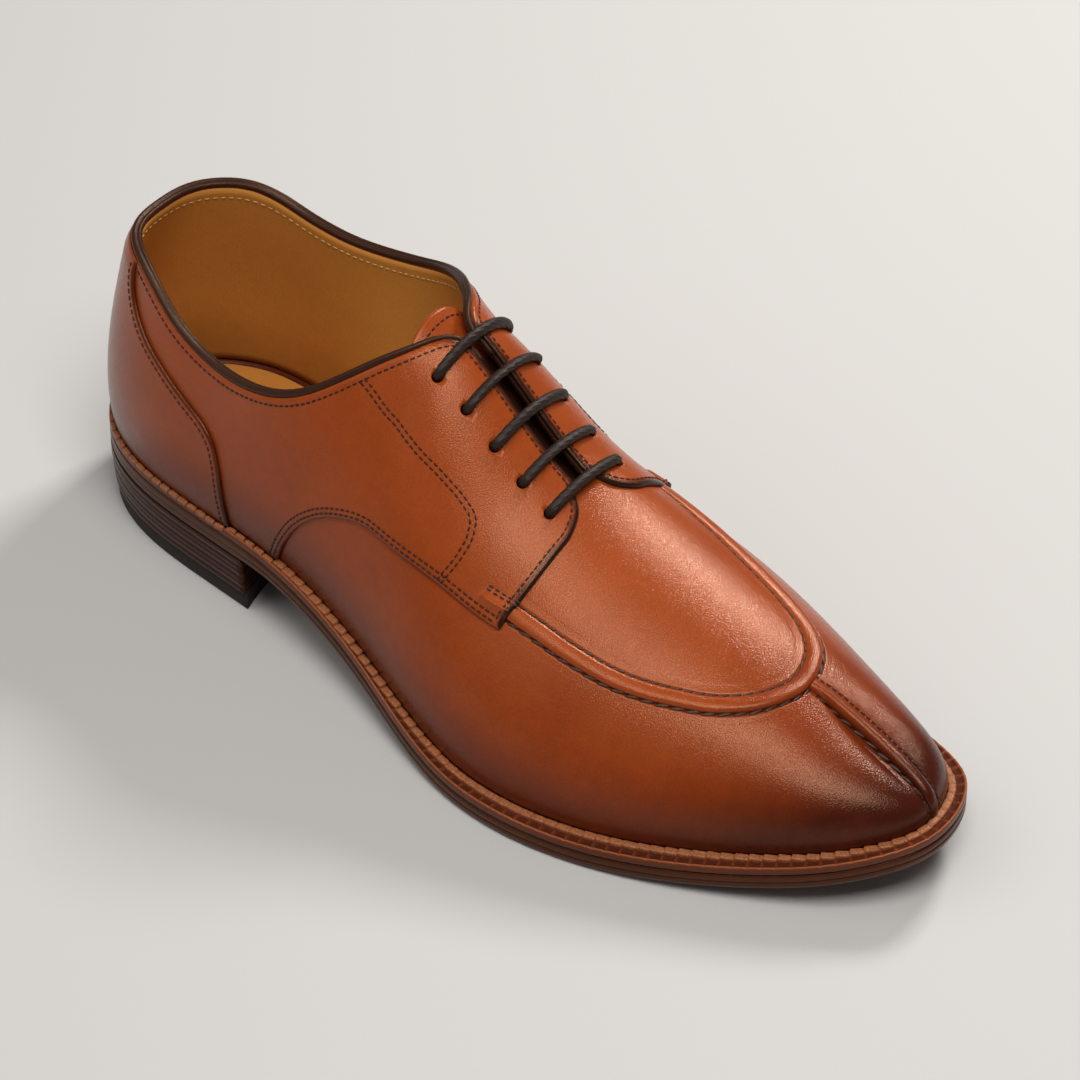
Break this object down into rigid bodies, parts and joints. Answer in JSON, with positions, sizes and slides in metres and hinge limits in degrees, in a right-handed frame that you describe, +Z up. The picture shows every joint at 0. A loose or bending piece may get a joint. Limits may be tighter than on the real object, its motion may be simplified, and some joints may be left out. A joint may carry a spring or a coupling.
{
  "type": "split toe derby shoe",
  "caption": "Right derby dress shoe in tan calf with open lacing, a raised apron seam, a split toe ridge, a stitched welt and a stacked heel.",
  "frame": {"origin": "on the floor, under the middle of the shoe's length and breadth", "axes": "+X to the toe, +Y to the medial side (the wearer's left), +Z up"},
  "size_m": [0.305, 0.1134, 0.1108],
  "materials": {
    "tan_calf": "burnished semi-gloss",
    "dark_calf": "satin",
    "sole_leather": "waxed edge",
    "welt_leather": "waxed",
    "heel_leather": "waxed edge",
    "top_piece_rubber": "matte",
    "lining_leather": "matte",
    "lace_cord": "waxed cord"
  },
  "bodies": {
    "root": {"outsole": "sole_leather", "welt": "welt_leather", "insole": "lining_leather", "heel_top_piece": "top_piece_rubber", "heel_lift_1": "heel_leather", "heel_lift_2": "heel_leather", "heel_lift_3": "heel_leather", "upper": "tan_calf", "quarter_lateral": "tan_calf", "quarter_medial": "tan_calf", "heel_counter": "tan_calf", "apron_lip": "tan_calf", "toe_ridge": "tan_calf", "collar_binding": "dark_calf", "tongue": "tan_calf", "lace": "lace_cord"}
  },
  "joints": []
}
